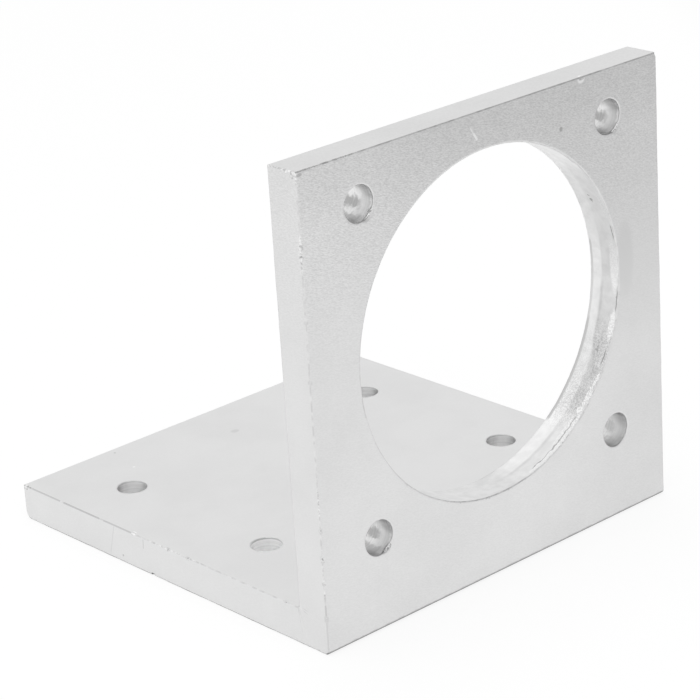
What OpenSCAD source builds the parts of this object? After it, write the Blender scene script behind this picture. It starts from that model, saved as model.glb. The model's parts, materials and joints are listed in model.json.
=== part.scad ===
// Motor mounting bracket.
// A length of equal-leg aluminium angle, milled square. The upright leg takes the
// flange of a square motor, with a large opening for its pilot and shaft. The base
// leg is bolted down. X runs across the width, the outer face of the upright looks
// towards -Y, and Z is up from the underside of the base.

/* [Angle section] */
// Width of the bracket, the length of angle it is cut from
width = 100; // [86:1:160]
// Height of the upright leg above the underside
height = 100; // [97:1:160]
// Depth of the base leg from the outer face of the upright
depth = 100; // [87:1:160]
// Thickness of the upright leg
upright_t = 8; // [4:0.5:14]
// Thickness of the base leg
base_t = 8; // [4:0.5:14]

/* [Edges] */
// Radius of the lower outer edge, where the two legs meet
heel_r = 1; // [0.4:0.1:3]
// Radius of the lower edge at the tip of the base leg
toe_r = 2; // [0.4:0.1:3]
// Radius of the other long edges at the tips of the legs
tip_r = 0.5; // [0.2:0.1:1.5]
// Radius of the fillet in the inner corner
root_r = 0.8; // [0.3:0.1:3]
// Edge break around the two milled ends
end_break = 0.3; // [0.1:0.05:1]

/* [Motor opening] */
// Diameter of the opening for the motor's pilot
bore_d = 74; // [50:0.5:80]
// Height of the opening's axis above the underside
bore_height = 55; // [53:0.5:60]
// Chamfer on both rims of the opening
bore_break = 0.4; // [0.1:0.1:1]

/* [Motor bolt holes] */
// Side of the square on which the four bolt holes lie
bolt_square = 69.6; // [66:0.1:74]
// Diameter of the bolt holes
bolt_d = 7.5; // [4:0.1:9]

/* [Base holes] */
// Diameter of the four base holes
base_hole_d = 6.6; // [4:0.1:10]
// Distance between the base holes across the width
base_pitch_x = 70; // [30:1:74]
// Distance from the outer face of the upright to the first row of base holes
base_row = 35; // [24:1:40]
// Distance between the two rows of base holes
base_pitch_y = 45; // [20:1:50]

/* [Hole mouths] */
// Edge break at the mouths of the bolt holes and the base holes
hole_break = 0.2; // [0.05:0.05:0.5]

/* [Hidden] */
$fn = 96;
// Overlap past a surface, so that cuts run clear and joined forms bite
bite = 1;
outer_y = -depth / 2;
inner_y = outer_y + upright_t;
bolt_half = bolt_square / 2;
base_half = base_pitch_x / 2;
base_row_1 = outer_y + base_row;
base_row_2 = base_row_1 + base_pitch_y;
metal = [0.82, 0.82, 0.82];

// What lies between a square corner at the origin and an arc of radius r in it.
// It cuts an outer corner round, and fills an inner corner.
module corner_piece(r) {
    difference() {
        translate([-bite, -bite]) square(r + bite);
        translate([r, r]) circle(r);
    }
}

// The section of the angle, with Y as X and Z as Y, from the outer corner
module angle_section() {
    difference() {
        union() {
            square([upright_t, height]);
            square([depth, base_t]);
        }
        corner_piece(heel_r);
        translate([depth, 0]) rotate(90) corner_piece(toe_r);
        translate([depth, base_t]) rotate(180) corner_piece(tip_r);
        translate([upright_t, height]) rotate(180) corner_piece(tip_r);
        translate([0, height]) rotate(270) corner_piece(tip_r);
    }
}

// Extrudes a section along X, centred on the width, from the outer face inwards
module along_width(length) {
    translate([-length / 2, outer_y, 0])
        rotate([90, 0, 90])
            linear_extrude(height = length) children();
}

// A rectangle centred on the width, w across and h up, with its corners cut by c
module cut_rectangle(w, h, c) {
    x = w / 2;
    polygon([
        [-x + c, 0], [x - c, 0], [x, c], [x, h - c],
        [x - c, h], [-x + c, h], [-x, h - c], [-x, c]
    ]);
}

// A leg as a flat plate, its edges broken all round at both ends of the width
module leg_plate(y_size, z_size) {
    translate([0, outer_y, 0])
        intersection() {
            linear_extrude(height = z_size) cut_rectangle(width, y_size, end_break);
            translate([0, y_size, 0])
                rotate([90, 0, 0])
                    linear_extrude(height = y_size) cut_rectangle(width, z_size, end_break);
        }
}

// The angle cut to length, before it is drilled
module angle_blank() {
    intersection() {
        along_width(width) angle_section();
        union() {
            leg_plate(upright_t, height);
            leg_plate(depth, base_t);
        }
    }
    along_width(width - 2 * end_break)
        translate([upright_t, base_t]) corner_piece(root_r);
}

// A round cut up through a wall of thickness t, with both mouths broken by c
module hole(d, t, c) {
    r = d / 2;
    rotate_extrude()
        polygon([
            [0, -bite], [r + c + bite, -bite], [r, c],
            [r, t - c], [r + c + bite, t + bite], [0, t + bite]
        ]);
}

// A hole through the upright, x across and z above the underside
module upright_hole(x, z, d, c) {
    translate([x, inner_y, z])
        rotate([90, 0, 0]) hole(d, upright_t, c);
}

module motor_opening() {
    upright_hole(0, bore_height, bore_d, bore_break);
}

module motor_bolt_holes() {
    for (x = [-bolt_half, bolt_half], z = [-bolt_half, bolt_half])
        upright_hole(x, bore_height + z, bolt_d, hole_break);
}

module base_holes() {
    for (x = [-base_half, base_half], y = [base_row_1, base_row_2])
        translate([x, y, 0]) hole(base_hole_d, base_t, hole_break);
}

module bracket() {
    color(metal)
        difference() {
            angle_blank();
            motor_opening();
            motor_bolt_holes();
            base_holes();
        }
}

bracket();
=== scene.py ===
import json
import math
from collections import namedtuple

import bmesh
import bpy
import numpy as np
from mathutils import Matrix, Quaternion, Vector, noise


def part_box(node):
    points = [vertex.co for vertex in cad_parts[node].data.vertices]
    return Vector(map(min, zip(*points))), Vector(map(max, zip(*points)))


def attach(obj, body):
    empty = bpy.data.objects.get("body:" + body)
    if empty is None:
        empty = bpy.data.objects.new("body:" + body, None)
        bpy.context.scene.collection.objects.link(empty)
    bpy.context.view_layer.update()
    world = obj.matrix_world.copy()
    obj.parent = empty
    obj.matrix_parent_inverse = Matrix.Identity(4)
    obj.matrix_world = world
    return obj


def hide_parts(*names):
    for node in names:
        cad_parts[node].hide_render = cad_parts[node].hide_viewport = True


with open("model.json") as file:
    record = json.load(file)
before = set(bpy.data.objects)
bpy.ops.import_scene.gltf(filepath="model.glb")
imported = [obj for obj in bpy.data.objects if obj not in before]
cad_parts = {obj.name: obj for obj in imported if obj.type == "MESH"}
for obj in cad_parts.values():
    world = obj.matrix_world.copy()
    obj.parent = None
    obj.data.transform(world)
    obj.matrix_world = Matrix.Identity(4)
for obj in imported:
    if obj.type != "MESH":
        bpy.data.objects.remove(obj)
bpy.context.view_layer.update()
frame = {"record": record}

MM = 0.001
ACROSS = Vector((1, 0, 0))
DEEP = Vector((0, 1, 0))
UP = Vector((0, 0, 1))

# The bracket's sizes, from the frame's box and mounts
MOUNTS = {mount["name"]: mount for mount in frame["record"]["mounts"]}
LOW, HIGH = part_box("bracket")
OUTER_Y = LOW.y
INNER_Y = MOUNTS["motor_face_inner"]["pos_m"][1]
TOE_Y = HIGH.y
UNDER_Z = LOW.z
TOP_Z = HIGH.z
UPRIGHT_T = INNER_Y - OUTER_Y
# The base holes' mount lies midway through the base leg
BASE_T = 2 * (MOUNTS["base_holes"]["pos_m"][2] - UNDER_Z)
BASE_TOP_Z = UNDER_Z + BASE_T
OPENING_R = MOUNTS["motor_opening"]["dims"]["r_mm"] * MM
OPENING_Z = MOUNTS["motor_opening"]["pos_m"][2]
BOLT_R = MOUNTS["motor_bolts"]["dims"]["hole_r_mm"] * MM
BOLT_HALF = MOUNTS["motor_bolts"]["dims"]["spacing_x_mm"] * MM / 2
BASE_HOLE_R = MOUNTS["base_holes"]["dims"]["hole_r_mm"] * MM
BASE_HALF_X = MOUNTS["base_holes"]["dims"]["spacing_x_mm"] * MM / 2
BASE_HALF_Y = MOUNTS["base_holes"]["dims"]["spacing_y_mm"] * MM / 2
BASE_MID_Y = MOUNTS["base_holes"]["pos_m"][1]

# Radii of the long edges of the angle
HEEL_R = 1.0 * MM
TOE_R = 2.0 * MM
TIP_R = 0.28 * MM
ROOT_R = 0.8 * MM
# The long edges of the section in turn: y, z and radius
CORNERS = (
    (OUTER_Y, UNDER_Z, HEEL_R),
    (TOE_Y, UNDER_Z, TOE_R),
    (TOE_Y, BASE_TOP_Z, TIP_R),
    (INNER_Y, BASE_TOP_Z, ROOT_R),
    (INNER_Y, TOP_Z, TIP_R),
    (OUTER_Y, TOP_Z, TIP_R),
)
# Rounded breaks round the milled ends and on the rims of the holes
END_BREAK = 0.25 * MM
OPENING_BREAK = 0.13 * MM
HOLE_BREAK = 0.1 * MM

# Spacing of the points along an edge, and how many rows of small faces lie beside an edge or
# a small hole's rim, so that wear has something to move
STEP = 0.35 * MM
ROWS = 4
HOLE_ROWS = 2
# Rows of faces down the wall of a hole, and faces that round a quarter turn
WALL_ROWS = 24
ROUND_STEPS = 3
# Points closer than this are one point
SAME = 0.001 * MM
# Half the length of the stretch between the rows at the two milled ends
MIDDLE_X = HIGH.x - END_BREAK - ROWS * STEP

# The places of the finishes on the mesh, in the order in which bracket() adds them
BLASTED, FRONT, LEFT_END, BASE_TOP, OPENING_WALL, BOLT_WALL, BASE_WALL, RUBBED, SCRAPED = range(9)

# How far in from its sharp edge wear reaches on each face, on the whole and at least
EVEN_WEAR = 0.2 * MM
LEAST_WEAR = 0.1 * MM
# The even wear of a rim reaches a little past its rounded break, as a share of it
RIM_WEAR = 1.1
# A face whose points wear has moved this far is bare metal
BARE_FROM = 0.14 * MM
# Nicks along an edge: the middle, the length, and how far the nick reaches on each face
Nick = namedtuple("Nick", "middle length reach")
# Down the left front edge, by height
LEFT_FRONT_NICKS = (
    Nick(85.4 * MM, 1.6 * MM, 0.4 * MM),
    Nick(83.4 * MM, 0.9 * MM, 0.5 * MM),
    Nick(75.2 * MM, 0.7 * MM, 0.4 * MM),
    Nick(70.3 * MM, 0.7 * MM, 0.4 * MM),
    Nick(57.9 * MM, 0.7 * MM, 0.35 * MM),
    Nick(27.0 * MM, 0.8 * MM, 0.5 * MM),
    Nick(21.0 * MM, 1.0 * MM, 0.6 * MM),
    Nick(15.6 * MM, 0.8 * MM, 0.36 * MM),
    Nick(8.0 * MM, 0.9 * MM, 0.45 * MM),
)
# Along the left edge of the base's top, by depth
LEFT_BASE_NICKS = (
    Nick(48.8 * MM, 1.2 * MM, 0.5 * MM),
    Nick(10.9 * MM, 1.3 * MM, 0.65 * MM),
    Nick(-0.4 * MM, 0.9 * MM, 0.55 * MM),
    Nick(-7.1 * MM, 1.2 * MM, 0.4 * MM),
    Nick(-38.0 * MM, 0.8 * MM, 0.45 * MM),
)
# Along the left edge of the underside, by depth
LEFT_UNDER_NICKS = (
    Nick(5.0 * MM, 1.0 * MM, 0.5 * MM),
)
# Along the top front edge, by place across
TOP_FRONT_NICKS = (
    Nick(-49.7 * MM, 0.5 * MM, 0.42 * MM),
    Nick(27.8 * MM, 1.0 * MM, 0.34 * MM),
    Nick(49.7 * MM, 1.3 * MM, 0.5 * MM),
)
# Down the right front edge, by height
RIGHT_FRONT_NICKS = (
    Nick(99.8 * MM, 1.4 * MM, 0.55 * MM),
)
# Along the top of the left end, by depth
TOP_LEFT_NICKS = (
    Nick(-49.0 * MM, 0.5 * MM, 0.34 * MM),
    Nick(-47.2 * MM, 0.5 * MM, 0.32 * MM),
)
# Scrapes round the rim of a hole: from one angle to another, anticlockwise from
# the right, and how far the scrape reaches down the wall and out on the face
Scrape = namedtuple("Scrape", "start stop wall face")
OPENING_SCRAPES = (
    Scrape(-82, -34, 0.6 * MM, 0.16 * MM),
    Scrape(-30, -24, 0.6 * MM, 0.2 * MM),
)
BURR = Scrape(-78, -26, 0.4 * MM, 0.45 * MM)
# A scrape grows from each of its ends over this many degrees
SCRAPE_GROWS = 6
# Wear swells along an edge or a rim: the size of the swells, their share of the wear, and a
# number that sets their noise apart
Swell = namedtuple("Swell", "size share seed")
EDGE_SWELLS = (Swell(6.0 * MM, 0.3, 0), Swell(2.0 * MM, 0.15, 31))
NICK_SWELLS = (Swell(0.6 * MM, 0.3, 83),)
RIM_SWELLS = (Swell(5.8 * MM, 0.35, 0), Swell(1.2 * MM, 0.3, 5))
SCRAPE_WALL_SWELLS = (Swell(1.8 * MM, 1.5, 11),)
SCRAPE_FACE_SWELLS = (Swell(1.8 * MM, 0.6, 17),)
# A face is flat, and not rounded, if its normal has this much of its length along an axis
SQUARE = 0.999

# A sharp edge: its start, direction and length, and the ways from it into its two faces
Edge = namedtuple("Edge", "start along length first second")


def parts_of(result, kind):
    """The vertices, edges or faces in what an operator returns."""
    return [part for part in result["geom"] if isinstance(part, kind)]


def join(bm, part):
    """Adds the bmesh part to bm and frees it."""
    mesh = bpy.data.meshes.new("part")
    part.to_mesh(mesh)
    part.free()
    bm.from_mesh(mesh)
    bpy.data.meshes.remove(mesh)


def section_ring(bm, x):
    """The L section's outline at x, as a ring of short edges."""
    points = [bm.verts.new((x, y, z)) for y, z, _ in CORNERS]
    bm.faces.new(points)
    for point, (_, _, radius) in zip(points, CORNERS):
        bmesh.ops.bevel(
            bm, geom=[point], offset=radius, offset_type="OFFSET", segments=2 * ROUND_STEPS,
            profile=0.5, affect="VERTICES", material=-1,
        )
    for edge in [e for e in bm.edges if e.calc_length() > 2 * STEP]:
        bmesh.ops.subdivide_edges(bm, edges=[edge], cuts=round(edge.calc_length() / STEP) - 1)
    bmesh.ops.delete(bm, geom=list(bm.faces), context="FACES_ONLY")
    return list(bm.edges)


def section_sides():
    """The sides of the section in turn: where each starts, its direction and its length."""
    places = [Vector((0, y, z)) for y, z, _ in CORNERS]
    ways = [after - place for place, after in zip(places, places[1:] + places[:1])]
    return [(place, way.normalized(), way.length) for place, way in zip(places, ways)]


def beside_a_corner(edge):
    """True for an edge of the section on a rounded corner or in the rows beside it."""
    middle = (edge.verts[0].co + edge.verts[1].co) / 2
    reach = ROWS * STEP + SAME
    return any(
        abs(middle.y - y) < radius + reach and abs(middle.z - z) < radius + reach
        for y, z, radius in CORNERS
    )


def run_out(bm, edges, step):
    """Extrudes a line of edges by one step and returns the new line."""
    result = bmesh.ops.extrude_edge_only(bm, edges=edges)
    fresh = set(parts_of(result, bmesh.types.BMVert))
    bmesh.ops.translate(bm, verts=list(fresh), vec=step)
    return [e for e in parts_of(result, bmesh.types.BMEdge) if fresh.issuperset(e.verts)]


def milled_ends():
    """Both milled ends: rows of faces out to the end, its rounded break, and rows on the end face."""
    bm = bmesh.new()
    ring = section_ring(bm, -MIDDLE_X)
    for _ in range(ROWS):
        ring = run_out(bm, ring, -ACROSS * STEP)
    end = bmesh.ops.edgeloop_fill(bm, edges=ring)["faces"]
    for turn in range(ROUND_STEPS):
        before = math.radians(90) * turn / ROUND_STEPS
        after = math.radians(90) * (turn + 1) / ROUND_STEPS
        bmesh.ops.inset_region(
            bm, faces=end, use_boundary=True, use_even_offset=True,
            thickness=END_BREAK * (math.cos(before) - math.cos(after)),
            depth=END_BREAK * (math.sin(after) - math.sin(before)),
        )
    ring = [edge for edge in end[0].edges if not beside_a_corner(edge)]
    bmesh.ops.delete(bm, geom=end, context="FACES_ONLY")
    for place, on, _ in section_sides():
        inward = ACROSS.cross(on)
        line = [
            edge for edge in ring
            if all(abs((v.co - place).dot(inward) - END_BREAK) < SAME for v in edge.verts)
        ]
        for _ in range(ROWS):
            line = run_out(bm, line, inward * STEP)
    bmesh.ops.mirror(bm, geom=bm.verts[:] + bm.edges[:] + bm.faces[:], axis="X", merge_dist=0)
    return bm


def edge_strips():
    """The long edges of the angle with the rows beside them, between the rows of the two ends."""
    bm = bmesh.new()
    flats = [edge for edge in section_ring(bm, -MIDDLE_X) if not beside_a_corner(edge)]
    bmesh.ops.delete(bm, geom=flats, context="EDGES")
    steps = round(2 * MIDDLE_X / STEP)
    bmesh.ops.spin(
        bm, geom=bm.verts[:] + bm.edges[:], cent=(0, 0, 0), axis=ACROSS, angle=0,
        dvec=ACROSS * (2 * MIDDLE_X / steps), steps=steps, use_merge=False,
    )
    return bm


def sharp_edges():
    """The outer edges of the bracket, as if they were sharp."""
    sides = section_sides()
    edges = []
    for (_, back, _), (place, on, length) in zip(sides[-1:] + sides, sides):
        if ACROSS.dot(back.cross(on)) > 0:
            edges.append(Edge(place + ACROSS * LOW.x, ACROSS, HIGH.x - LOW.x, -back, on))
        for end, inward in ((LOW.x, ACROSS), (HIGH.x, -ACROSS)):
            edges.append(Edge(place + ACROSS * end, on, length, inward, ACROSS.cross(on)))
    return edges


def nicks_of(edge):
    """The nicks on an edge, each with its middle as a distance from the edge's start."""
    known = (
        (Vector((LOW.x, OUTER_Y, 0)), UP, LEFT_FRONT_NICKS),
        (Vector((HIGH.x, OUTER_Y, 0)), UP, RIGHT_FRONT_NICKS),
        (Vector((LOW.x, 0, BASE_TOP_Z)), DEEP, LEFT_BASE_NICKS),
        (Vector((LOW.x, 0, UNDER_Z)), DEEP, LEFT_UNDER_NICKS),
        (Vector((0, OUTER_Y, TOP_Z)), ACROSS, TOP_FRONT_NICKS),
        (Vector((LOW.x, 0, TOP_Z)), DEEP, TOP_LEFT_NICKS),
    )
    found = []
    for zero, way, nicks in known:
        offset = zero - edge.start
        aside = offset - edge.along * offset.dot(edge.along)
        parallel = abs(way.dot(edge.along)) > 0.5
        if parallel and aside.length < SAME:
            for nick in nicks:
                middle = (offset + way * nick.middle).dot(edge.along)
                found.append(nick._replace(middle=middle))
    return found


def swelling(distance, swells, seed):
    """How strong wear is at a distance: 1 on the whole, more and less with the swells."""
    strength = 1
    for swell in swells:
        place = Vector((distance / swell.size, seed + swell.seed, 0.5))
        strength += swell.share * noise.noise(place)
    return strength


def edge_reach(edge_number, distance, nicks):
    """How far in wear reaches from an edge, at a distance along it."""
    reach = EVEN_WEAR * swelling(distance, EDGE_SWELLS, edge_number)
    for nick in nicks:
        off = 2 * abs(distance - nick.middle) / nick.length
        if off < 1:
            rough = swelling(distance, NICK_SWELLS, edge_number)
            reach = max(reach, nick.reach * rough * math.sqrt(1 - off * off))
    return max(reach, LEAST_WEAR)


def cut_back(first, second, reach_first, reach_second):
    """How far a point moves into the metal, to the plane that cuts both reaches off the faces."""
    short = 1 - first / reach_first - second / reach_second
    if short <= 0:
        return 0, 0
    slope_first = 1 / reach_first
    slope_second = 1 / reach_second
    share = short / (slope_first ** 2 + slope_second ** 2)
    return slope_first * share, slope_second * share


def wear_edges(bm, worn):
    """Wears the outer edges back, and adds how far each point went to the layer worn."""
    widest = ROWS * STEP
    verts = list(bm.verts)
    places = np.array([vert.co for vert in verts])
    for number, edge in enumerate(sharp_edges()):
        nicks = nicks_of(edge)
        offsets = places - edge.start
        first = offsets @ edge.first
        second = offsets @ edge.second
        distance = offsets @ edge.along
        near = (-SAME < first) & (first < widest) & (-SAME < second) & (second < widest)
        near &= (-SAME < distance) & (distance < edge.length + SAME)
        for index in np.flatnonzero(near):
            reach = edge_reach(number, distance[index], nicks)
            in_first, in_second = cut_back(first[index], second[index], reach, reach)
            places[index] += in_first * np.array(edge.first) + in_second * np.array(edge.second)
            verts[index][worn] += math.hypot(in_first, in_second)
    for vert, place in zip(verts, places):
        vert.co = place


def hole_profile(radius, depth, rim, rows):
    """Half the section of a hole, as pairs of radius and depth: face, rim, wall, rim, face."""
    face = [(radius + rim + row * STEP, 0) for row in range(rows, 0, -1)]
    turns = [math.radians(90) * turn / ROUND_STEPS for turn in range(ROUND_STEPS + 1)]
    corner = [(radius + rim * (1 - math.sin(a)), rim * (1 - math.cos(a))) for a in turns]
    wall = [(radius, rim + (depth - 2 * rim) * row / WALL_ROWS) for row in range(1, WALL_ROWS)]
    near = face + corner
    return near + wall + [(r, depth - h) for r, h in reversed(near)]


def rim_reach(angle, round_rim, even, scrapes, seed):
    """How far wear reaches down the wall and out on the face, by angle and distance round a rim."""
    wall = face = even * swelling(round_rim, RIM_SWELLS, seed)
    for scrape in scrapes:
        inside = min(angle - scrape.start, scrape.stop - angle)
        if inside > 0:
            deep = min(1, inside / SCRAPE_GROWS)
            wall = max(wall, scrape.wall * deep * swelling(round_rim, SCRAPE_WALL_SWELLS, seed))
            face = max(face, scrape.face * deep * swelling(round_rim, SCRAPE_FACE_SWELLS, seed))
    return max(wall, LEAST_WEAR), max(face, LEAST_WEAR)


def wear_rims(bm, worn, centre, axis, radius, depth, even, scrapes, seed):
    """Wears both rims of a hole, and scrapes the one on the outer face."""
    rise = UP if abs(axis.z) < 0.5 else DEEP
    for vert in bm.verts:
        offset = vert.co - centre
        height = offset.dot(axis)
        out = offset - axis * height
        turn = math.atan2(out.dot(rise), out.x)
        beyond = out.length - radius
        near_side = height < depth / 2
        down = height if near_side else depth - height
        wall, face = rim_reach(
            math.degrees(turn), turn * radius, even, scrapes if near_side else (), seed + near_side,
        )
        in_wall, in_face = cut_back(down, beyond, wall, face)
        vert.co += out.normalized() * in_face + axis * (in_wall if near_side else -in_wall)
        vert[worn] = math.hypot(in_wall, in_face)


def cut_hole(bm, centre, axis, radius, depth, rim, rows, steps, material, scrapes, seed):
    """Adds the wall of a round hole with both its rims, spun about its axis from face to face."""
    part = bmesh.new()
    worn = part.verts.layers.float.new("worn")
    profile = [
        part.verts.new(centre + ACROSS * r + axis * h)
        for r, h in hole_profile(radius, depth, rim, rows)
    ]
    edges = [part.edges.new(pair) for pair in zip(profile, profile[1:])]
    bmesh.ops.spin(
        part, geom=profile + edges, cent=centre, axis=axis, angle=2 * math.pi, steps=steps,
        use_merge=True,
    )
    for face in part.faces:
        offset = face.calc_center_median() - centre
        out = (offset - axis * offset.dot(axis)).length
        if out < radius + SAME:
            face.material_index = material
        elif out < radius + rim:
            face.material_index = RUBBED
    wear_rims(part, worn, centre, axis, radius, depth, RIM_WEAR * rim, scrapes, seed)
    join(bm, part)


def cut_holes(bm):
    """The motor opening, the bolt holes round it and the holes in the base."""
    cut_hole(
        bm, Vector((0, OUTER_Y, OPENING_Z)), DEEP, OPENING_R, UPRIGHT_T, OPENING_BREAK,
        rows=ROWS, steps=600, material=OPENING_WALL, scrapes=OPENING_SCRAPES, seed=3,
    )
    for x in (-BOLT_HALF, BOLT_HALF):
        for z in (OPENING_Z - BOLT_HALF, OPENING_Z + BOLT_HALF):
            plain = x > 0 and z < OPENING_Z
            cut_hole(
                bm, Vector((x, OUTER_Y, z)), DEEP, BOLT_R, UPRIGHT_T, HOLE_BREAK,
                rows=HOLE_ROWS, steps=64, material=BOLT_WALL,
                scrapes=() if plain else (BURR,), seed=(x + z) / MM,
            )
    for x in (-BASE_HALF_X, BASE_HALF_X):
        for y in (BASE_MID_Y - BASE_HALF_Y, BASE_MID_Y + BASE_HALF_Y):
            cut_hole(
                bm, Vector((x, y, UNDER_Z)), UP, BASE_HOLE_R, BASE_T, HOLE_BREAK,
                rows=HOLE_ROWS, steps=64, material=BASE_WALL,
                scrapes=(), seed=(x + y) / MM,
            )


def finish_faces(bm, worn):
    """Gives three flats their own skins, and the edges and the bare faces in nicks their finishes."""
    marked = ((1, OUTER_Y, FRONT), (0, LOW.x, LEFT_END), (2, BASE_TOP_Z, BASE_TOP))
    for face in bm.faces:
        normal = face.normal
        straight = max(abs(normal.x), abs(normal.y), abs(normal.z))
        middle = face.calc_center_median()
        in_root = abs(middle.y - INNER_Y) < ROOT_R and abs(middle.z - BASE_TOP_Z) < ROOT_R
        inside = abs(middle.x) < HIGH.x - END_BREAK
        if face.material_index == BLASTED and straight < SQUARE and not (in_root and inside):
            face.material_index = RUBBED
        for axis, level, finish in marked:
            flat = all(abs(vert.co[axis] - level) < SAME for vert in face.verts)
            if face.material_index == BLASTED and flat:
                face.material_index = finish
        if sum(vert[worn] for vert in face.verts) / len(face.verts) > BARE_FROM:
            face.material_index = SCRAPED
            face.smooth = False


def fill_flats(bm):
    """Fills each flat between the strips, the ends and the rims of the holes in it."""
    flats = (
        (0, LOW.x), (0, HIGH.x), (1, OUTER_Y), (1, INNER_Y), (1, TOE_Y), (2, UNDER_Z),
        (2, BASE_TOP_Z), (2, TOP_Z),
    )
    for axis, level in flats:
        normal = Vector((0, 0, 0))
        normal[axis] = 1
        outline = [
            edge for edge in bm.edges
            if edge.is_boundary and all(abs(v.co[axis] - level) < SAME for v in edge.verts)
        ]
        bmesh.ops.triangle_fill(bm, use_beauty=True, edges=outline, normal=normal)


def bracket_mesh():
    """The bracket as one closed mesh, with its worn edges and rims."""
    bm = bmesh.new()
    worn = bm.verts.layers.float.new("worn")
    join(bm, milled_ends())
    join(bm, edge_strips())
    bmesh.ops.remove_doubles(bm, verts=bm.verts, dist=SAME)
    cut_holes(bm)
    for face in bm.faces:
        face.smooth = True
    fill_flats(bm)
    bmesh.ops.recalc_face_normals(bm, faces=bm.faces)
    wear_edges(bm, worn)
    bm.normal_update()
    finish_faces(bm, worn)
    mesh = bpy.data.meshes.new("bracket_blasted")
    bm.to_mesh(mesh)
    bm.free()
    mesh.attributes.remove(mesh.attributes["worn"])
    return mesh


def add(tree, kind, settings=None, inputs=None):
    """Adds a shader node. An input is a value, or the output of another node."""
    made = tree.nodes.new("ShaderNode" + kind)
    for name, value in (settings or {}).items():
        setattr(made, name, value)
    for name, value in (inputs or {}).items():
        if isinstance(value, bpy.types.NodeSocket):
            tree.links.new(value, made.inputs[name])
        else:
            made.inputs[name].default_value = value
    return made


def calc(tree, operation, *values):
    """The output of a Math node."""
    return add(tree, "Math", {"operation": operation}, dict(enumerate(values))).outputs[0]


def calc_vector(tree, operation, *values, output="Vector"):
    """An output of a Vector Math node."""
    made = add(tree, "VectorMath", {"operation": operation}, dict(enumerate(values)))
    return made.outputs[output]


def fade(tree, value, start, stop, low=0.0, high=1.0):
    """A smooth change from low to high as value goes from start to stop."""
    inputs = {"Value": value, "From Min": start, "From Max": stop, "To Min": low, "To Max": high}
    return add(tree, "MapRange", {"interpolation_type": "SMOOTHSTEP"}, inputs).outputs[0]


def place_in_mm(tree, centre=(0, 0, 0)):
    """The place on the bracket in millimetres, from a centre in metres."""
    coordinates = add(tree, "TexCoord").outputs["Object"]
    scale = 1 / MM
    inputs = {"Vector": coordinates, "Location": [-scale * c for c in centre], "Scale": [scale] * 3}
    return add(tree, "Mapping", None, inputs).outputs[0]


def grain(tree, place, size, detail):
    """Noise from 0 to 1 with spots of about the given size in millimetres."""
    inputs = {"Vector": place, "Scale": 1 / size, "Detail": detail, "Roughness": 0.5}
    return add(tree, "TexNoise", None, inputs).outputs[0]


def lines(tree, along, size):
    """Noise from 0 to 1 that changes along one measure only, as tool marks do."""
    inputs = {"W": along, "Scale": 1 / size, "Detail": 2.0}
    return add(tree, "TexNoise", {"noise_dimensions": "1D"}, inputs).outputs[0]


def mottle(tree, noise_value, low, high, spread=0.2):
    """A level from low to high that follows noise, with harder spots for a smaller spread."""
    return fade(tree, noise_value, 0.5 - spread, 0.5 + spread, low, high)


def between(tree, value, start, stop, soft):
    """1 where a value lies between start and stop and 0 elsewhere, with soft ends."""
    rise = fade(tree, value, start - soft, start + soft)
    fall = fade(tree, value, stop - soft, stop + soft, 1.0, 0.0)
    return calc(tree, "MULTIPLY", rise, fall)


def spot(tree, place, centre, sizes, soft=0.3):
    """1 inside a rounded spot and 0 outside it. The sizes are half its measures."""
    off = calc_vector(tree, "SUBTRACT", place, centre)
    off = calc_vector(tree, "DIVIDE", off, sizes)
    far = calc_vector(tree, "LENGTH", off, output="Value")
    return fade(tree, far, 1 - soft, 1 + soft, 1.0, 0.0)


def stroke(tree, gap, width):
    """1 on a line and 0 away from it, by the gap to its middle. Its edges are a little soft."""
    return fade(tree, gap, 0.3 * width, 0.7 * width, 1.0, 0.0)


def scratch(tree, place, start, stop, width):
    """1 on a thin straight scratch from one point to another, and 0 away from it."""
    way = Vector(stop) - Vector(start)
    off = calc_vector(tree, "SUBTRACT", place, start)
    dot = calc_vector(tree, "DOT_PRODUCT", off, way, output="Value")
    share = calc(tree, "DIVIDE", dot, way.length_squared)
    share = add(tree, "Clamp", None, {"Value": share}).outputs[0]
    inputs = {"Vector": way, "Scale": share}
    on = add(tree, "VectorMath", {"operation": "SCALE"}, inputs).outputs[0]
    return stroke(tree, calc_vector(tree, "DISTANCE", off, on, output="Value"), width)


def blend(tree, first, second, share):
    """The first value where the share is 0, and the second where it is 1."""
    inputs = {"Value": share, "To Min": first, "To Max": second}
    return add(tree, "MapRange", None, inputs).outputs[0]


def zoned(tree, level, turn, depth, zones, soft):
    """The level on the wall of a hole: its own, or that of the last zone that holds the place."""
    for zone in zones:
        inside = calc(
            tree, "MULTIPLY", between(tree, turn, zone.start, zone.stop, soft),
            between(tree, depth, zone.near, zone.far, zone.soft),
        )
        level = blend(tree, level, zone.level, inside)
    return level


def with_spots(tree, level, place, spots):
    """The level, with spots of their own levels laid over it."""
    for mark in spots:
        inside = spot(tree, place, mark.centre, mark.sizes)
        level = blend(tree, level, mark.level, inside)
    return level


def with_scratches(tree, level, place, scratches):
    """The level, with scratches of their own levels laid over it."""
    for mark in scratches:
        on = scratch(tree, place, mark.start, mark.stop, mark.width)
        level = blend(tree, level, mark.level, on)
    return level


def metal(material, level, roughness, height, depth):
    """Makes a material a grey metal. Height is the relief, which a depth in millimetres scales."""
    tree = material.node_tree
    relief = add(tree, "Bump", None, {"Height": height, "Distance": depth * MM, "Strength": 1.0})
    shader = tree.nodes["Principled BSDF"]
    shader.inputs["Metallic"].default_value = 1.0
    for socket, value in (("Base Color", grey(tree, level)), ("Roughness", roughness)):
        tree.links.new(value, shader.inputs[socket])
    tree.links.new(relief.outputs[0], shader.inputs["Normal"])
    return material


def new_material(name):
    """A new material with its shader nodes."""
    material = bpy.data.materials.new(name)
    material.use_nodes = True
    return material


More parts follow.
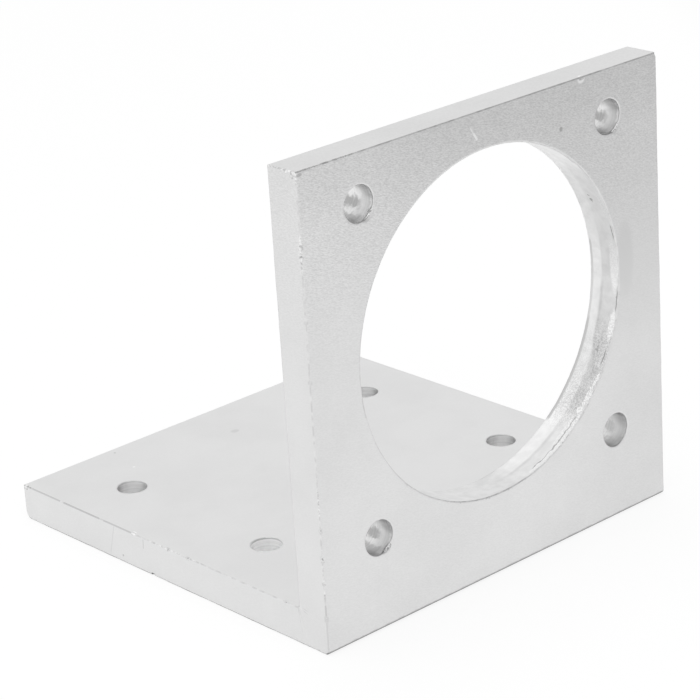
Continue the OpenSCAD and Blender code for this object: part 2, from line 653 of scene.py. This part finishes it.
def grey(tree, level):
    """A neutral colour from one level."""
    return add(tree, "CombineColor", None, {"Red": level, "Green": level, "Blue": level}).outputs[0]


# Marks on the skin, in millimetres: the middle, half the measures, and the level there
Spot = namedtuple("Spot", "centre sizes level")
# The front's marks. The first, a white spot at the nick in the top edge, is a painted highlight
FRONT_MARKS_AND_PAINTED_GLINT = (
    Spot((27.2, -50, 99.5), (1.0, 1, 0.8), 1.0),
    Spot((27.1, -50, 99.9), (0.65, 1, 0.6), 0.6),
    Spot((-49.1, -50, 99.25), (0.7, 1, 0.35), 0.58),
    Spot((20.9, -50, 90.6), (0.45, 1, 0.5), 0.50),
    Spot((39.0, -50, 58.0), (2.5, 1, 8.0), 0.735),
    Spot((20.0, -50, 32.5), (0.25, 1, 0.3), 0.58),
    Spot((37.9, -50, 35.6), (1.6, 1, 0.9), 0.752),
)
# Painted light and shade on the front, lighter high on the left and on the right and darker low on
# the right: wide soft spots, each with its middle, half the measures, and what it adds to the level
FRONT_PAINTED_LIGHT_AND_SHADE = (
    Spot((-50, -50, 95), (22, 40, 32), 0.065),
    Spot((52, -50, 80), (14, 40, 16), 0.035),
    Spot((52, -50, 12), (20, 40, 20), -0.05),
)
LEFT_END_SPOTS = (
    Spot((-50, 15.1, 1.6), (1, 0.25, 0.25), 0.55),
)
# Marks on the base's top. The first, a white spot at the chip on its left edge, is a painted
# highlight
BASE_TOP_MARKS_AND_PAINTED_GLINT = (
    Spot((-49.4, 11.1, 8), (0.3, 0.6, 1), 1.0),
    Spot((-27.9, 38.3, 8), (0.3, 0.3, 1), 0.95),
    Spot((-25.8, 47.9, 8), (0.25, 0.3, 1), 0.6),
    Spot((-34.7, 30.5, 8), (0.3, 0.3, 1), 0.66),
    Spot((0.0, 36.1, 8), (1.0, 0.8, 1), 0.70),
)
# A white spot on the top at the nick in its front edge: a painted highlight
TOP_NICK_PAINTED_GLINT = (
    Spot((27.6, -49.4, 100), (0.55, 0.4, 1), 1.0),
)
# Thin scratches: from one point to another, the width, and the level there
Scratch = namedtuple("Scratch", "start stop width level")
FRONT_SCRATCHES = (
    Scratch((-4.5, -50, 97.0), (-3.7, -50, 95.7), 0.3, 0.90),
    Scratch((-3.6, -50, 95.6), (-2.9, -50, 94.5), 0.5, 0.98),
)
LEFT_END_SCRATCHES = (
    Scratch((-50, 19.4, 1.2), (-50, 17.6, 7.5), 0.3, 0.70),
    Scratch((-50, 7.7, 5.6), (-50, 7.6, 7.5), 0.3, 0.64),
)


# The strokes of the grain: their turn from level in degrees, and their size in millimetres
STROKE_TURN = -14.0
STROKE_SIZE = (0.6, 0.6, 0.19)
# The grain grows from a share of its strength to the whole between two heights. It shades the
# metal by up to about half of GRAIN_SHADE, and its relief is in millimetres
GRAIN_HEIGHTS = (50.0, 95.0)
LOW_GRAIN_SHARE = 0.25
GRAIN_SHADE = 0.36
GRAIN_RELIEF = 0.045
# Between two heights the skin is darkened by painted shade, by a share that goes with the strength of
# its grain
PAINTED_SHADE_HEIGHTS = (86.0, 97.0)
PAINTED_SHADE_SHARE = 0.04
# Faint clouds: their size in millimetres, their shade, and the roughness in the dark and the
# bright ones
CLOUD_SIZE = 14.0
CLOUD_SHADE = 0.01
CLOUD_ROUGHNESS = (0.40, 0.37)


def skin(name, brightness, grain_share, spots=(), scratches=(), tones=()):
    """The skin: a fine grain, strongest high up, painted shade high up, faint clouds, painted light
    and shade where tones are given, and the marks given.
    """
    material = new_material(name)
    tree = material.node_tree
    place = place_in_mm(tree)
    height_up = add(tree, "SeparateXYZ", None, {"Vector": place}).outputs[2]
    strength = fade(tree, height_up, *GRAIN_HEIGHTS, LOW_GRAIN_SHARE * grain_share, grain_share)
    inputs = {"Vector": place, "Rotation": (0, math.radians(STROKE_TURN), 0)}
    turned = add(tree, "Mapping", None, inputs).outputs[0]
    inputs = {"Vector": turned, "Scale": [1 / size for size in STROKE_SIZE]}
    stretched = add(tree, "Mapping", None, inputs).outputs[0]
    strokes = grain(tree, stretched, 1.0, 1.0)
    coarse = calc(tree, "MULTIPLY", calc(tree, "SUBTRACT", strokes, 0.5), strength)
    cloud = grain(tree, place, CLOUD_SIZE, 3.0)
    level = mottle(tree, cloud, brightness - CLOUD_SHADE, brightness + CLOUD_SHADE)
    level = calc(tree, "MULTIPLY_ADD", coarse, GRAIN_SHADE, level)
    # Painted shade that darkens the skin high up
    dulled = fade(tree, height_up, *PAINTED_SHADE_HEIGHTS, 1.0, 1.0 - PAINTED_SHADE_SHARE * grain_share)
    level = calc(tree, "MULTIPLY", level, dulled)
    # Painted light and shade: wide soft spots that add to the level
    for mark in tones:
        wide = spot(tree, place, mark.centre, mark.sizes, 1.0)
        level = calc(tree, "MULTIPLY_ADD", wide, mark.level, level)
    level = with_spots(tree, level, place, spots)
    level = with_scratches(tree, level, place, scratches)
    roughness = mottle(tree, cloud, *CLOUD_ROUGHNESS)
    return metal(material, level, roughness, coarse, GRAIN_RELIEF)


# The wall of the motor opening, by the angle in degrees anticlockwise from the right and by
# the depth in millimetres behind the outer face. First its plain tone and those of its zones,
# which are painted reflections and painted shade. They fade over a few degrees and, each by its
# own value, over some depth
Zone = namedtuple("Zone", "start stop near far soft level")
OPENING_LEVEL = 0.765
OPENING_SOFT = 5.0
OPENING_PAINTED_REFLECTION_ZONES = (
    Zone(-82, 60, -1.0, 9.0, 0.5, 0.83),
    Zone(16, 75, -1.0, 9.0, 0.5, 0.88),
    Zone(1, 48, 4.8, 9.0, 0.4, 0.95),
    Zone(-78, -50, 4.2, 9.0, 0.5, 0.93),
    Zone(-88, -54, 3.6, 4.3, 0.4, 0.74),
    Zone(-49, -24, 0.8, 4.2, 0.6, 0.64),
)
# Patches of painted highlight near the front rim, and dark specks: their middle and half their
# measures
Patch = namedtuple("Patch", "turn depth wide deep")
PAINTED_HIGHLIGHT_PATCHES = (
    Patch(3.0, 1.2, 9.0, 1.2),
    Patch(25.0, 0.9, 5.0, 0.6),
    Patch(-17.5, 0.9, 5.0, 0.8),
    Patch(-36.0, 0.6, 3.0, 0.4),
    Patch(-42.0, 0.9, 3.0, 0.6),
    Patch(-47.0, 1.2, 2.5, 0.7),
    Patch(-52.0, 0.4, 4.0, 0.4),
    Patch(-57.0, 1.7, 6.0, 0.45),
    Patch(-61.0, 0.5, 4.0, 0.4),
    Patch(-70.0, 0.8, 6.0, 0.6),
)
DARK_SPECKS = (
    Patch(27.0, 3.5, 0.9, 0.4),
    Patch(29.6, 3.9, 0.5, 0.25),
    Patch(-8.0, 0.5, 0.5, 0.25),
    Patch(-26.0, 3.2, 0.6, 0.5),
)
# Dark lines of painted shade in the cracks near the front rim and along the back rim: from one angle
# to another, the depth, how far it wavers, the width and the level
Line = namedtuple("Line", "start stop depth waver width level")
PAINTED_SHADE_LINES = (
    Line(-74, -50, 1.1, 1.6, 0.26, 0.48),
    Line(-31, -26, 0.9, 0.8, 0.24, 0.35),
    Line(-12.5, -6, 0.4, 0.3, 0.22, 0.35),
    Line(12.5, 17.5, 0.5, 0.3, 0.2, 0.4),
    Line(-18, 10, 7.6, 0.2, 0.7, 0.70),
    Line(-54, -17, 7.6, 0.2, 0.9, 0.60),
    Line(48, 72, 0.5, 0.2, 0.25, 0.55),
)
# Where the two borings meet, the wall has a step, which moves back from one angle to another
STEP_TURNS = (-36, -22)
STEP_DEPTHS = (2.2, 4.75)
# Half the depth over which the step fades
STEP_SOFT = 0.2
# Stretches of the wall: from one angle to another, and how softly they end
IN_FRONT_STRETCH = (-40, 5, 8)
CREASE_SHADE_STRETCH = (-36, -4, 4)
GRITTY_STRETCH = (-54, -18, 6)
# The tone in front of the step, from one angle to another
IN_FRONT_TURNS = (-20, -5)
IN_FRONT_LEVELS = (0.68, 0.73)
# Painted shade in the crease along the step
CREASE_SHADE_REACH = 0.7
CREASE_SHADE_LEVEL = 0.62
# The shade of the clouds all over the wall, the tones of the painted highlight patches, and that of
# the specks
CLOUDY_SHADE = 0.04
PAINTED_HIGHLIGHT_LEVELS = (0.83, 0.94)
SPECK_LEVEL = 0.52
# How far the edges of the patches and the specks waver, in degrees and in millimetres
TURN_WAVER = 6.0
DEPTH_WAVER = 0.8
# The specks of the grit, from dark to bright, and how strong they are: in front of the step, and
# behind it from one angle to another. The strength changes between two depths about the step
GRIT_SPECKS = (-1.0, 0.8)
GRIT_SHADE = 0.11
GRIT_TURNS = (-46, -26)
GRIT_SHADES_BEHIND = (0.12, 0.04)
GRIT_ABOUT_STEP = (-0.3, 0.8)
# The plain wall's and the gritty wall's roughness and share of the grit in the relief, and the
# relief in millimetres
OPENING_ROUGHNESS = (0.32, 0.45)
GRIT_RELIEF = (0.1, 0.25)
OPENING_RELIEF = 0.08


def bored_wall():
    """The wall of the opening: bored from both sides, gritty low on the right, with painted
    reflections that make it bright below, painted highlights near the front rim and painted shade in
    its crease and cracks.
    """
    material = new_material("bored_wall")
    tree = material.node_tree
    place = place_in_mm(tree, (0, OUTER_Y, OPENING_Z))
    x, depth, z = add(tree, "SeparateXYZ", None, {"Vector": place}).outputs
    turn = calc(tree, "DEGREES", calc(tree, "ARCTAN2", z, x))
    waver = calc(tree, "SUBTRACT", grain(tree, place, 1.6, 2.0), 0.5)
    clouds = grain(tree, place, 2.0, 3.0)
    grit = grain(tree, place, 0.3, 1.0)
    level = zoned(tree, OPENING_LEVEL, turn, depth, OPENING_PAINTED_REFLECTION_ZONES, OPENING_SOFT)
    step = fade(tree, turn, *STEP_TURNS, *STEP_DEPTHS)
    off_step = calc(tree, "SUBTRACT", depth, step)
    front = fade(tree, off_step, -STEP_SOFT, STEP_SOFT, 1.0, 0.0)
    front = calc(tree, "MULTIPLY", front, between(tree, turn, *IN_FRONT_STRETCH))
    level = blend(tree, level, fade(tree, turn, *IN_FRONT_TURNS, *IN_FRONT_LEVELS), front)
    # Painted shade along the step
    crease = fade(tree, calc(tree, "ABSOLUTE", off_step), 0.0, CREASE_SHADE_REACH, 1.0, 0.0)
    crease = calc(tree, "MULTIPLY", crease, between(tree, turn, *CREASE_SHADE_STRETCH))
    level = blend(tree, level, CREASE_SHADE_LEVEL, crease)
    level = calc(tree, "ADD", level, mottle(tree, clouds, -CLOUDY_SHADE, CLOUDY_SHADE))
    unrolled = add(tree, "CombineXYZ", None, {
        "X": calc(tree, "MULTIPLY_ADD", waver, TURN_WAVER, turn),
        "Y": calc(tree, "MULTIPLY_ADD", waver, DEPTH_WAVER, depth),
    }).outputs[0]
    bright = mottle(tree, grit, *PAINTED_HIGHLIGHT_LEVELS)
    for patches, tone, soft in ((PAINTED_HIGHLIGHT_PATCHES, bright, 0.2), (DARK_SPECKS, SPECK_LEVEL, 0.4)):
        for patch in patches:
            centre = (patch.turn, patch.depth, 0)
            inside = spot(tree, unrolled, centre, (patch.wide, patch.deep, 1), soft)
            level = blend(tree, level, tone, inside)
    gritty = between(tree, turn, *GRITTY_STRETCH)
    behind = fade(tree, turn, *GRIT_TURNS, *GRIT_SHADES_BEHIND)
    deepest = fade(tree, off_step, *GRIT_ABOUT_STEP, GRIT_SHADE, behind)
    speck = calc(tree, "MULTIPLY", mottle(tree, grit, *GRIT_SPECKS, 0.15), deepest)
    level = calc(tree, "MULTIPLY_ADD", gritty, speck, level)
    for line in PAINTED_SHADE_LINES:
        wavering = calc(tree, "MULTIPLY_ADD", waver, line.waver, depth)
        gap = calc(tree, "ABSOLUTE", calc(tree, "SUBTRACT", wavering, line.depth))
        on = stroke(tree, gap, line.width)
        on = calc(tree, "MULTIPLY", on, between(tree, turn, line.start, line.stop, 1.0))
        level = blend(tree, level, line.level, on)
    roughness = blend(tree, *OPENING_ROUGHNESS, gritty)
    relief = calc(tree, "MULTIPLY_ADD", grit, blend(tree, *GRIT_RELIEF, gritty), clouds)
    return metal(material, level, roughness, relief, OPENING_RELIEF)


# The walls of the small holes, by the angle in degrees and by the depth in millimetres. First
# the painted reflections and shade in the bolt holes: bright and dark patches, a dark bottom and a
# light band round the mouth
BOLT_LEVEL = 0.72
BOLT_SOFT = 12.0
BOLT_PAINTED_REFLECTION_ZONES = (
    Zone(-8, 24, 3.1, 9.0, 0.8, 0.84),
    Zone(-45, -9, 3.6, 9.0, 0.9, 0.44),
    Zone(-62, -46, 3.6, 9.0, 0.8, 0.82),
    Zone(-130, -62, 1.2, 9.0, 0.7, 0.50),
    Zone(-60, 50, -1.0, 0.7, 0.4, 0.95),
)
# How far the edges of the painted reflections waver, in degrees and in millimetres
REFLECTION_TURN_WAVER = 40.0
REFLECTION_DEPTH_WAVER = 2.4
# In the lower right bolt hole the painted reflections are weaker: its tone lies by a share nearer to
# an even one
EVEN_BOLT_LEVEL = 0.74
EVEN_BOLT_SHARE = 0.35
BOLT_ROUGHNESS = (0.28, 0.36)
# The base holes, darker on two sides by painted shade. The front left hole is paler and rougher
BASE_LEVEL = 0.96
BASE_SOFT = 25.0
BASE_PAINTED_SHADE_ZONES = (
    Zone(105, 185, -1.0, 9.0, 0.5, 0.56),
    Zone(-85, 0, -1.0, 9.0, 0.5, 0.56),
)
PALE_LEVEL = 1.0
PALE_SHARE = 0.85
BASE_ROUGHNESS = (0.64, 0.72)
PALE_ROUGHNESS = (0.90, 0.98)
# A dark line of painted shade round the mouth of a base hole fades between two depths
MOUTH_SHADE_LEVEL = 0.62
MOUTH_SHADE_SHARE = 0.8
MOUTH_SHADE_DEPTHS = (0.15, 0.5)
# The rings that the drill's feed leaves: their spacing in millimetres and their shade
RING_SIZE = 0.35
BOLT_RING_SHADE = 0.025
BASE_RING_SHADE = 0.05
DRILLED_RELIEF = 0.01


def turn_in_holes(tree, across, rise, half_across, half_rise):
    """The angle round the nearest of four holes on a rectangle, in degrees."""
    around = []
    for value, half in ((rise, half_rise), (across, half_across)):
        middle = calc(tree, "MULTIPLY", calc(tree, "SIGN", value), half / MM)
        around.append(calc(tree, "SUBTRACT", value, middle))
    return calc(tree, "DEGREES", calc(tree, "ARCTAN2", *around))


def in_low_hole(tree, across, rise, left):
    """1 in the left or the right one of the two low or front holes, and 0 in the others."""
    on_side = calc(tree, "LESS_THAN" if left else "GREATER_THAN", across, 0.0)
    return calc(tree, "MULTIPLY", on_side, calc(tree, "LESS_THAN", rise, 0.0))


def drilled_wall(material, depth, level, spots, roughness, ring_shade):
    """Makes a material the wall of drilled holes, with feed rings across their depth."""
    tree = material.node_tree
    rings = lines(tree, depth, RING_SIZE)
    shade = calc(tree, "ADD", level, mottle(tree, rings, -ring_shade, ring_shade))
    relief = calc(tree, "MULTIPLY_ADD", spots, 0.6, rings)
    return metal(material, shade, roughness, relief, DRILLED_RELIEF)


def bolt_wall():
    """The walls of the four bolt holes, with painted reflections and painted shade."""
    material = new_material("drilled_bolt_wall")
    tree = material.node_tree
    place = place_in_mm(tree, (0, OUTER_Y, OPENING_Z))
    across, depth, rise = add(tree, "SeparateXYZ", None, {"Vector": place}).outputs
    turn = turn_in_holes(tree, across, rise, BOLT_HALF, BOLT_HALF)
    spots = grain(tree, place, 0.6, 2.0)
    waver = calc(tree, "SUBTRACT", grain(tree, place, 0.9, 3.0), 0.5)
    wavering_turn = calc(tree, "MULTIPLY_ADD", waver, REFLECTION_TURN_WAVER, turn)
    wavering_depth = calc(tree, "MULTIPLY_ADD", waver, REFLECTION_DEPTH_WAVER, depth)
    level = zoned(tree, BOLT_LEVEL, wavering_turn, wavering_depth, BOLT_PAINTED_REFLECTION_ZONES, BOLT_SOFT)
    evened = in_low_hole(tree, across, rise, left=False)
    level = blend(tree, level, EVEN_BOLT_LEVEL, calc(tree, "MULTIPLY", evened, EVEN_BOLT_SHARE))
    roughness = mottle(tree, spots, *BOLT_ROUGHNESS)
    return drilled_wall(material, depth, level, spots, roughness, BOLT_RING_SHADE)


def base_wall():
    """The walls of the four base holes, with painted shade on two sides and round the mouth."""
    material = new_material("drilled_base_wall")
    tree = material.node_tree
    place = place_in_mm(tree, (0, BASE_MID_Y, BASE_TOP_Z))
    across, rise, up = add(tree, "SeparateXYZ", None, {"Vector": place}).outputs
    depth = calc(tree, "MULTIPLY", up, -1.0)
    turn = turn_in_holes(tree, across, rise, BASE_HALF_X, BASE_HALF_Y)
    spots = grain(tree, place, 0.6, 2.0)
    level = zoned(tree, BASE_LEVEL, turn, depth, BASE_PAINTED_SHADE_ZONES, BASE_SOFT)
    pale = in_low_hole(tree, across, rise, left=True)
    level = blend(tree, level, PALE_LEVEL, calc(tree, "MULTIPLY", pale, PALE_SHARE))
    # Painted shade round the mouth
    level = blend(tree, level, MOUTH_SHADE_LEVEL, fade(tree, depth, *MOUTH_SHADE_DEPTHS, MOUTH_SHADE_SHARE, 0.0))
    low, high = (blend(tree, *pair, pale) for pair in zip(BASE_ROUGHNESS, PALE_ROUGHNESS))
    roughness = mottle(tree, spots, low, high)
    return drilled_wall(material, depth, level, spots, roughness, BASE_RING_SHADE)


# Duller stretches of the rounded edges
DULLER_EDGE_STRETCHES = (
    Scratch((-49.9, 12, 7.9), (-49.9, 21, 7.9), 0.7, 0.60),
    Scratch((-49.9, 23, 7.9), (-49.9, 35, 7.9), 0.7, 0.56),
    Scratch((-49.9, 37, 7.9), (-49.9, 48.5, 7.9), 0.7, 0.60),
    Scratch((-49.9, -49.9, 2.5), (-49.9, -49.9, 7.0), 0.7, 0.68),
    Scratch((-49.9, -49.9, 9.0), (-49.9, -49.9, 10.8), 0.6, 0.62),
    Scratch((-49.9, -49.9, 12.0), (-49.9, -49.9, 13.2), 0.5, 0.64),
)
# Stretches of the edges that are rough and speckled: the middle, half the measures, and how rough
SPECKLED = (
    Spot((-46, -47, 100), (12, 7, 2.5), 0.9),
    Spot((-50, -50, 84), (1.5, 1.5, 3.5), 0.8),
    Spot((-50, -50, 33), (1.5, 1.5, 3), 0.8),
    Spot((-50, -50, 18), (1.5, 1.5, 6), 0.4),
    Spot((6, -50, 20), (26, 2, 6), 0.4),
    Spot((-50, -4, 8), (1.5, 9, 1.5), 0.5),
    Spot((-50, 49, 8), (2.5, 2, 2), 1),
)
# The tones of the rounded edges, and what the specks in the rough stretches add to them
RUBBED_LEVELS = (0.66, 0.80)
RUBBED_SPECKS = (-0.15, 0.2)
RUBBED_ROUGHNESS = (0.34, 0.42)
RUBBED_RELIEF = 0.03
# Painted contact shade: between two heights the edges rise from nearly black at the floor to their
# own tone
CONTACT_SHADE_HEIGHTS = (0.25, 0.95)
CONTACT_SHADE_SHARE = 0.1


def rubbed_edge_and_contact_shade():
    """The rounded edges, with a mottled finish and painted contact shade that makes them dark down at
    the floor.
    """
    material = new_material("rubbed_edge_and_contact_shade")
    tree = material.node_tree
    place = place_in_mm(tree)
    spots = grain(tree, place, 1.6, 3.0)
    height_up = add(tree, "SeparateXYZ", None, {"Vector": place}).outputs[2]
    level = mottle(tree, spots, *RUBBED_LEVELS, 0.15)
    level = with_scratches(tree, level, place, DULLER_EDGE_STRETCHES)
    speckled = 0.0
    for mark in SPECKLED:
        inside = calc(tree, "MULTIPLY", spot(tree, place, mark.centre, mark.sizes), mark.level)
        speckled = calc(tree, "MAXIMUM", speckled, inside)
    specks = grain(tree, place, 0.5, 2.0)
    shade = mottle(tree, specks, *RUBBED_SPECKS, 0.15)
    level = calc(tree, "MULTIPLY_ADD", speckled, shade, level)
    # Painted contact shade: dark down at the floor
    painted_contact_shade = fade(tree, height_up, *CONTACT_SHADE_HEIGHTS, CONTACT_SHADE_SHARE, 1.0)
    level = calc(tree, "MULTIPLY", level, painted_contact_shade)
    roughness = mottle(tree, spots, *RUBBED_ROUGHNESS)
    relief = calc(tree, "MULTIPLY_ADD", calc(tree, "MULTIPLY", speckled, specks), 1.2, spots)
    return metal(material, level, roughness, relief, RUBBED_RELIEF)


# The tones of bare metal, and a painted highlight on the chip at the left edge of the base's
# top. Its part on the flat is the first spot on the base's top
TORN_LEVELS = (0.40, 0.86)
TORN_ROUGHNESS = (0.55, 0.7)
TORN_RELIEF = 0.08
CHIP_PAINTED_GLINTS = (
    Spot((-49.8, 11.1, 7.9), (1.0, 0.7, 1.0), 1.0),
)


def scraped_metal():
    """Bare metal in the nicks and scrapes, with a painted highlight on one chip."""
    material = new_material("scraped_metal")
    tree = material.node_tree
    place = place_in_mm(tree)
    tears = grain(tree, place, 0.5, 3.0)
    level = mottle(tree, tears, *TORN_LEVELS, 0.1)
    level = with_spots(tree, level, place, CHIP_PAINTED_GLINTS)
    roughness = mottle(tree, tears, *TORN_ROUGHNESS)
    return metal(material, level, roughness, tears, TORN_RELIEF)


def bracket():
    """The finished bracket, in place."""
    mesh = bracket_mesh()
    for finish in (
        skin("blasted_plain", brightness=0.775, grain_share=0.25, spots=TOP_NICK_PAINTED_GLINT),
        skin(
            "blasted_front", brightness=0.77, grain_share=1.1, spots=FRONT_MARKS_AND_PAINTED_GLINT,
            scratches=FRONT_SCRATCHES, tones=FRONT_PAINTED_LIGHT_AND_SHADE,
        ),
        skin(
            "blasted_left_end", brightness=0.77, grain_share=0.65, spots=LEFT_END_SPOTS,
            scratches=LEFT_END_SCRATCHES,
        ),
        skin("blasted_base_top", brightness=0.795, grain_share=0.3, spots=BASE_TOP_MARKS_AND_PAINTED_GLINT),
        bored_wall(),
        bolt_wall(),
        base_wall(),
        rubbed_edge_and_contact_shade(),
        scraped_metal(),
    ):
        mesh.materials.append(finish)
    piece = bpy.data.objects.new("bracket_blasted", mesh)
    bpy.context.scene.collection.objects.link(piece)
    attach(piece, "root")
    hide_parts("bracket")


# The studio: a white floor with painted shade that turns it grey well in front and to the right
# of the bracket, a pale room that is darker high up on that side, and one wide soft lamp overhead
FLOOR_SIZE = 6.0
# The floor's painted shade turns it from white to its grey between two distances toward the grey side
GREY_SIDE = Vector((0.80, -0.60, 0))
SHADE_GREY_FROM = 0.15
SHADE_GREY_TO = 0.31
FLOOR_SHADE_GREY = 0.66
# How much of the floor is its own even glow, and not lit paper: for the camera, and for the
# rays that the metal mirrors
FLOOR_GLOW = 0.84
FLOOR_MIRROR_GLOW = 0.75
# The room's dark side with its strength, and the sides where the room is a little duller. Each
# fades in as a direction comes nearer to it, where 0 is square to it and 1 is straight to it
DARK_SIDE = Vector((0.62, -0.37, 0.70))
DARK_NEARNESS = (0.75, 0.92)
DARK_STRENGTH = 0.48
DULL_SIDES = ((GREY_SIDE, 0.85), (Vector((0.62, 0.70, 0.37)), 0.93))
DULL_NEARNESS = (0.3, 0.95)
LAMP_PLACE = Vector((-0.15, -0.3, 1.0))
LAMP_SIZE = 1.2
LAMP_POWER = 2.9


def toward(tree, direction, side):
    """How far a place or direction lies toward a side."""
    return calc_vector(tree, "DOT_PRODUCT", direction, side, output="Value")


def floor():
    """The floor. The camera and the metal see it partly plain white, so its shadows are faint."""
    bm = bmesh.new()
    bmesh.ops.create_grid(bm, x_segments=1, y_segments=1, size=FLOOR_SIZE / 2)
    mesh = bpy.data.meshes.new("floor")
    bm.to_mesh(mesh)
    bm.free()
    piece = bpy.data.objects.new("floor", mesh)
    bpy.context.scene.collection.objects.link(piece)
    paper = new_material("floor_paper")
    mesh.materials.append(paper)
    tree = paper.node_tree
    tree.nodes.remove(tree.nodes["Principled BSDF"])
    place = add(tree, "TexCoord").outputs["Object"]
    # Painted shade: the floor turns grey toward the grey side
    level = fade(tree, toward(tree, place, GREY_SIDE), SHADE_GREY_FROM, SHADE_GREY_TO, 1.0, FLOOR_SHADE_GREY)
    matt = add(tree, "BsdfDiffuse", None, {"Color": grey(tree, level)}).outputs[0]
    glow = add(tree, "Emission", None, {"Color": grey(tree, level), "Strength": 1.0}).outputs[0]
    rays = add(tree, "LightPath").outputs
    mirrored = calc(tree, "MAXIMUM", rays["Is Glossy Ray"], rays["Is Transmission Ray"])
    mirrored = calc(tree, "MULTIPLY", mirrored, FLOOR_MIRROR_GLOW)
    seen = calc(tree, "MULTIPLY", rays["Is Camera Ray"], FLOOR_GLOW)
    share = calc(tree, "MAXIMUM", seen, mirrored)
    both = add(tree, "MixShader", None, {0: share, 1: matt, 2: glow}).outputs[0]
    tree.links.new(both, tree.nodes["Material Output"].inputs["Surface"])


def room():
    """The world: pale all round, dark high up at the front right and a little duller on the right."""
    world = bpy.data.worlds.new("room")
    world.use_nodes = True
    bpy.context.scene.world = world
    tree = world.node_tree
    direction = add(tree, "TexCoord").outputs["Generated"]
    near = toward(tree, direction, DARK_SIDE)
    strength = fade(tree, near, *DARK_NEARNESS, 1.0, DARK_STRENGTH)
    for side, least in DULL_SIDES:
        near = toward(tree, direction, side)
        dulled = fade(tree, near, *DULL_NEARNESS, 1.0, least)
        strength = calc(tree, "MULTIPLY", strength, dulled)
    tree.links.new(strength, tree.nodes["Background"].inputs["Strength"])
    tree.nodes["Background"].inputs["Color"].default_value = (1, 1, 1, 1)


def lamp():
    """The soft lamp overhead. It lights the floor alone: its mirror image would clip the metal."""
    data = bpy.data.lights.new("overhead_lamp", "AREA")
    data.size = LAMP_SIZE
    data.energy = LAMP_POWER
    piece = bpy.data.objects.new("overhead_lamp", data)
    piece.location = LAMP_PLACE
    piece.visible_glossy = False
    bpy.context.scene.collection.objects.link(piece)


# The photograph's view: where the camera stands, how far its heading turns from the depth
# towards the width, how far it looks down, its tilt, and its lens and sensor in millimetres
EYE = Vector((-0.3573, -0.4095, 0.2498))
HEADING = math.radians(41.49)
DOWN = math.radians(21.41)
TILT = math.radians(-3.66)
LENS = 138.75
SENSOR = 36


def camera():
    """The photograph's view, which holds the whole bracket in a square frame."""
    data = bpy.data.cameras.new("view")
    data.sensor_width = SENSOR
    data.lens = LENS
    piece = bpy.data.objects.new("view", data)
    level = Vector((math.sin(HEADING), math.cos(HEADING), 0))
    look = level * math.cos(DOWN) - UP * math.sin(DOWN)
    piece.location = EYE
    piece.rotation_mode = "QUATERNION"
    piece.rotation_quaternion = look.to_track_quat("-Z", "Y") @ Quaternion((0, 0, 1), TILT)
    bpy.context.scene.collection.objects.link(piece)
    bpy.context.scene.camera = piece


bracket()
floor()
room()
lamp()
camera()
bpy.context.scene.view_settings.view_transform = "Standard"
